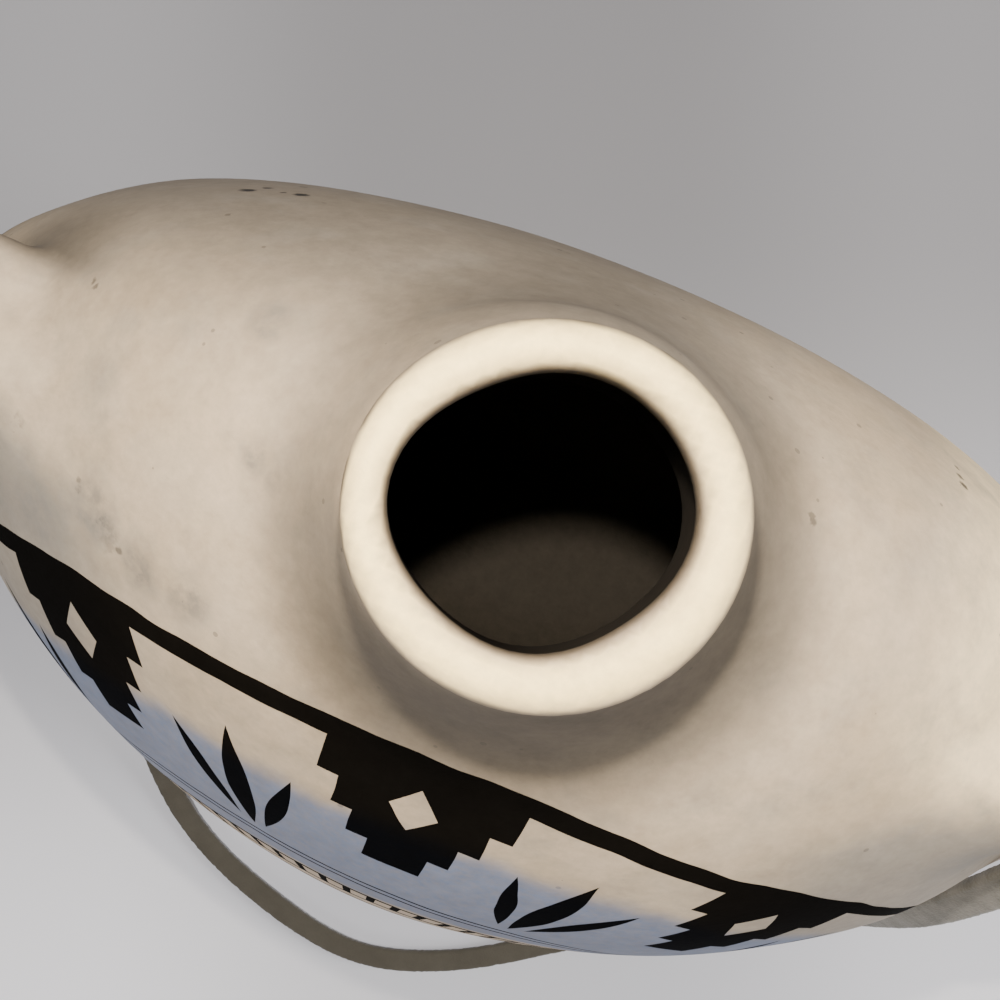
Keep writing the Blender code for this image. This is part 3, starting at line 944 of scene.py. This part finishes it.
def smoothLine(stops, count):
    # evenly spaced points on a smooth curve through the stops
    stops = np.array(stops)
    padded = np.vstack([2 * stops[0] - stops[1], stops, 2 * stops[-1] - stops[-2]])
    fine = []
    for i in range(len(stops) - 1):
        a, b, c, d = padded[i:i + 4]
        for t in np.linspace(0.0, 1.0, thong["fineSteps"], endpoint=False):
            bend = (2 * a - 5 * b + 4 * c - d) * t ** 2 + (3 * b - a - 3 * c + d) * t ** 3
            fine.append(0.5 * (2 * b + (c - a) * t + bend))
    fine = np.array(fine + [stops[-1]])
    fine[:, 2] = np.maximum(fine[:, 2], thong["tableLift"])
    run = np.concatenate([[0.0], np.cumsum(np.linalg.norm(np.diff(fine, axis=0), axis=1))])
    places = np.linspace(0.0, run[-1], count)
    line = np.stack([np.interp(places, run, fine[:, k]) for k in range(3)], axis=1)
    # ease the bends without moving the ends
    for _ in range(thong["easing"]):
        line[1:-1] += 0.5 * (0.5 * (line[:-2] + line[2:]) - line[1:-1])
    return line


def beyondEnd(line, end, inner):
    # a point past the line's end, inside the knot
    way = line[end] - line[inner]
    return line[end] + way / np.linalg.norm(way) * thong["intoKnot"]


def laceTree():
    # a flat strip with rounded edges swept along a line
    tree = bpy.data.node_groups.new("sweptLace", "GeometryNodeTree")
    face = tree.interface
    face.new_socket("Geometry", in_out="INPUT", socket_type="NodeSocketGeometry")
    for label in ("Width", "Thickness", "Corner"):
        face.new_socket(label, in_out="INPUT", socket_type="NodeSocketFloat")
    face.new_socket("Material", in_out="INPUT", socket_type="NodeSocketMaterial")
    face.new_socket("Geometry", in_out="OUTPUT", socket_type="NodeSocketGeometry")
    given = addNode(tree, "NodeGroupInput")
    line = addNode(tree, "GeometryNodeMeshToCurve", {"Mesh": given["Geometry"]})
    flat = addNode(tree, "GeometryNodeInputNamedAttribute", {"Name": "flatSide"}, data_type="FLOAT_VECTOR")
    girth = addNode(tree, "GeometryNodeInputNamedAttribute", {"Name": "girth"}, data_type="FLOAT")
    turned = addNode(tree, "GeometryNodeSetCurveNormal",
                     {"Curve": line[0], "Normal": flat["Attribute"]}, mode="FREE")
    section = addNode(tree, "GeometryNodeCurvePrimitiveQuadrilateral",
                      {"Width": given["Thickness"], "Height": given["Width"]})
    eased = addNode(tree, "GeometryNodeFilletCurve",
                    {"Curve": section[0], "Radius": given["Corner"], "Count": 4}, mode="POLY")
    swept = addNode(tree, "GeometryNodeCurveToMesh",
                    {"Curve": turned[0], "Profile Curve": eased[0],
                     "Scale": girth["Attribute"], "Fill Caps": True})
    smooth = addNode(tree, "GeometryNodeSetShadeSmooth", {"Geometry": swept[0]})
    real = addNode(tree, "GeometryNodeRealizeInstances", {"Geometry": smooth[0]})
    done = addNode(tree, "GeometryNodeSetMaterial", {"Geometry": real[0], "Material": given["Material"]})
    addNode(tree, "NodeGroupOutput", {"Geometry": done[0]})
    return tree


lace = laceTree()


def applied(obj, name):
    # the evaluated result as a plain mesh object
    bpy.context.view_layer.update()
    graph = bpy.context.evaluated_depsgraph_get()
    mesh = bpy.data.meshes.new_from_object(obj.evaluated_get(graph))
    bpy.data.objects.remove(obj, do_unlink=True)
    mesh.name = name
    made = bpy.data.objects.new(name, mesh)
    scene.collection.objects.link(made)
    return made


def laceAlong(name, line, flatSides, girth, sizes, closed=False):
    # girth scales the strip from point to point
    count = len(line)
    steps = [(i, (i + 1) % count) for i in range(count if closed else count - 1)]
    mesh = bpy.data.meshes.new(name + "Line")
    mesh.from_pydata([tuple(p) for p in line], steps, [])
    flatMark = mesh.attributes.new("flatSide", "FLOAT_VECTOR", "POINT")
    flatMark.data.foreach_set("vector", np.array(flatSides, np.float32).ravel())
    girthMark = mesh.attributes.new("girth", "FLOAT", "POINT")
    girthMark.data.foreach_set("value", np.array(girth, np.float32))
    obj = bpy.data.objects.new(name + "Line", mesh)
    scene.collection.objects.link(obj)
    sweep = obj.modifiers.new("sweep", "NODES")
    sweep.node_group = lace
    given = {
        "Width": sizes["width"],
        "Thickness": sizes["thickness"],
        "Corner": laceCorner * sizes["thickness"],
        "Material": suede,
    }
    for item in lace.interface.items_tree:
        if item.in_out == "INPUT" and item.name in given:
            sweep[item.identifier] = given[item.name]
    return applied(obj, name)


def faceUp(line):
    # the flat side's normal: as near to straight up as the line lets it be
    ahead = np.gradient(line, axis=0)
    ahead /= np.linalg.norm(ahead, axis=1)[:, None]
    side = np.cross(ahead, np.array([0.0, 0.0, 1.0]))
    side /= np.maximum(np.linalg.norm(side, axis=1), 1e-9)[:, None]
    return np.cross(side, ahead)


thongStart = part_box("right_knot")[0][1] - thong["knotGap"]
throughEye = [eyePoint(1.0, y) for y in (thongStart, 0.5 * thong["lugFront"], thong["lugFront"])]
route = throughEye + thong["freeRight"]
route += [(x, y, thong["tableLift"]) for x, y in thong["onTable"]]
route += thong["freeLeft"][::-1]
route += [(-x, y, z) for x, y, z in reversed(throughEye)]
thongLine = smoothLine(route, thong["points"])
thongLine = np.vstack([beyondEnd(thongLine, 0, 1), thongLine, beyondEnd(thongLine, -1, -2)])
# the strip has stretched narrower from the table up to the left lug, and its cut edges are ragged
share = np.linspace(0.0, 1.0, len(thongLine))
stretched = smoothStep(*thong["stretchFrom"], share) * smoothStep(*thong["stretchTo"], share)
thongGirth = thong["girth"] - thong["stretch"] * stretched
for times, size, shift in thong["waver"]:
    thongGirth += size * np.sin(times * share + shift)
thongGirth += np.random.default_rng(thong["raggedSeed"]).normal(0.0, thong["ragged"], len(share))
thongPiece = laceAlong("suedeThong", thongLine, faceUp(thongLine), thongGirth, thong)


# stopper knots behind the lugs and the cut ends that hang from them
knot = {
    "ring": 1.34 * mm,
    "deep": 2.6 * mm,
    "width": 3.4 * mm,
    "thickness": 2.3 * mm,
    "points": 120,
    "tailStart": 4.6 * mm,
    "tailLength": 12.5 * mm,
    "tailDroop": 1.2 * mm,
    "tailLean": (0.60, 0.30, -0.74),  # outwards, back, down
    "tailGirth": 0.93,
    "tailPoints": 14,
}


def knotLoop(centre, side):
    # a closed trefoil, the lace crossing itself three times
    turn = np.linspace(0.0, 2 * pi, knot["points"], endpoint=False)
    out = (2.0 + np.cos(3 * turn)) * knot["ring"]
    spread = [side * out * np.cos(2 * turn), knot["deep"] * np.sin(3 * turn), out * np.sin(2 * turn)]
    return centre + np.stack(spread, axis=1)


def faceOut(loop, centre):
    # the flat side's normal: away from the centre and square to the run
    ahead = np.roll(loop, -1, axis=0) - np.roll(loop, 1, axis=0)
    ahead /= np.linalg.norm(ahead, axis=1)[:, None]
    outward = loop - centre
    outward -= (outward * ahead).sum(1)[:, None] * ahead
    return outward / np.linalg.norm(outward, axis=1)[:, None]


def tailLine(centre, side):
    # out of the knot, drooping more and more
    outwards, backwards, down = knot["tailLean"]
    lean = np.array([side * outwards, backwards, down])
    lean /= np.linalg.norm(lean)
    along = np.linspace(0.0, knot["tailLength"], knot["tailPoints"])[:, None]
    droop = np.array([0.0, 0.0, -knot["tailDroop"]])
    return centre + lean * knot["tailStart"] + along * lean + (along / knot["tailLength"]) ** 2 * droop


for label, side in (("right", 1.0), ("left", -1.0)):
    low, high = (np.array(corner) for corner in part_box(label + "_knot"))
    centre = 0.5 * (low + high)
    loop = knotLoop(centre, side)
    knotPiece = laceAlong(label + "Knot", loop, faceOut(loop, centre), np.ones(len(loop)), knot, closed=True)
    finishPiece(knotPiece, "grey_tan_suede", label + "_knot")
    tail = tailLine(centre, side)
    tailGirth = np.full(len(tail), knot["tailGirth"])
    tailPiece = laceAlong(label + "ThongEnd", tail, faceUp(tail), tailGirth, thong)
    finishPiece(tailPiece, "grey_tan_suede", label + "_thong_end")
print("knots and ends made")

finishPiece(frontShell, "cream_slip_clay", "front_shell")
finishPiece(backShell, "cream_slip_clay_back", "back_shell")
finishPiece(neck, "cream_slip_clay_neck", "neck")
finishPiece(rightLug, "cream_slip_clay_lug", "right_lug")
finishPiece(leftLug, "cream_slip_clay_lug", "left_lug")
finishPiece(thongPiece, "grey_tan_suede", "thong")


# pale table top, sizes in metres
table = {
    "front": "#f1eff3",
    # painted shadow towards the back of the table
    "back": "#918f91",
    "across": (-0.377, 0.926, 0.0),  # from front to back
    "along": (0.926, 0.377, 0.0),
    "shadeBehindSpan": (-0.13, 0.09),
    "drift": 0.35,
    "driftShift": 0.05,
    "besideSpan": (0.03, 0.1),
    "farSpan": (0.13, 0.3),
    "shades": (0.84, 1.12),  # painted shadow before and behind the canteen, and lighter elsewhere
    "roughness": 0.7,
    "reach": 3.0,
}


def tableMaterial():
    # gives the eye a dull pale board, with painted shadow darkening it to the back and before and behind the
    # canteen
    made, tree, shader = newMaterial("paleTableTop", table["roughness"])
    spot = addNode(tree, "ShaderNodeTexCoord")["Object"]
    settings = {"Vector": spot, "Scale": 1 / table["drift"], "Detail": 2.0}
    drift = addNode(tree, "ShaderNodeTexNoise", settings)[0]
    away = addNode(tree, "ShaderNodeVectorMath", [spot, table["across"]], operation="DOT_PRODUCT")["Value"]
    uneven = addNode(tree, "ShaderNodeMath", [drift, table["driftShift"], away], operation="MULTIPLY_ADD")[0]
    sideways = addNode(tree, "ShaderNodeVectorMath", [spot, table["along"]], operation="DOT_PRODUCT")["Value"]
    aside = addNode(tree, "ShaderNodeMath", [sideways], operation="ABSOLUTE")[0]
    distance = addNode(tree, "ShaderNodeVectorMath", [spot], operation="LENGTH")["Value"]
    soft = []
    for value, span in ((uneven, "shadeBehindSpan"), (aside, "besideSpan"), (distance, "farSpan")):
        eased = addNode(tree, "ShaderNodeMapRange", [value, *table[span]], interpolation_type="SMOOTHSTEP")
        soft.append(eased[0])
    depth, beside, farOff = soft
    tone = layered(tree, table["front"], [(depth, table["back"])])
    clear = addNode(tree, "ShaderNodeMath", [beside, farOff], operation="MAXIMUM")[0]
    shade = addNode(tree, "ShaderNodeMapRange", [clear, 0.0, 1.0, *table["shades"]])[0]
    shaded = addNode(tree, "ShaderNodeVectorMath", {0: tone, "Scale": shade}, operation="SCALE")[0]
    tree.links.new(shaded, shader["Base Color"])
    return made


far = table["reach"]
floorMesh = bpy.data.meshes.new("tableTop")
floorMesh.from_pydata([(-far, -far, 0), (far, -far, 0), (far, far, 0), (-far, far, 0)], [], [(0, 1, 2, 3)])
floor = bpy.data.objects.new("tableTop", floorMesh)
floor.data.materials.append(tableMaterial())
scene.collection.objects.link(floor)
print("table made")

# room light from above, the right and the front, and a small warm light close over the mouth
room = {
    "aim": (0.0, 0.0, 0.1),
    # each light: name, place, width in metres, watts, colour
    "lights": [
        ("keyLeft", (-0.341, 0.120, 1.241), 0.12, 11.9, "#ffffff"),
        ("rightSide", (1.070, 0.28, 0.560), 0.5, 10.8, "#ffffff"),
        ("frontLow", (-0.15, -0.95, 0.55), 0.5, 2.1, "#ffffff"),
        ("nearLight", (-0.0107, 0.0165, 0.2720), 0.0045, 0.32, "#fff6e8"),
    ],
    "walls": "#e4e2e4",
    "wallLight": 0.15,
}
for name, spot, width, power, hexText in room["lights"]:
    data = bpy.data.lights.new(name, "AREA")
    data.shape = "DISK"
    data.size = width
    data.energy = power
    data.color = linear(hexText)[:3]
    obj = bpy.data.objects.new(name, data)
    obj.location = spot
    obj.visible_camera = False
    obj.rotation_euler = (Vector(room["aim"]) - Vector(spot)).to_track_quat("-Z", "Y").to_euler()
    scene.collection.objects.link(obj)
world = bpy.data.worlds.new("softRoom")
world.use_nodes = True
walls = world.node_tree.nodes["Background"]
walls.inputs["Color"].default_value = linear(room["walls"])
walls.inputs["Strength"].default_value = room["wallLight"]
scene.world = world
print("lights set")
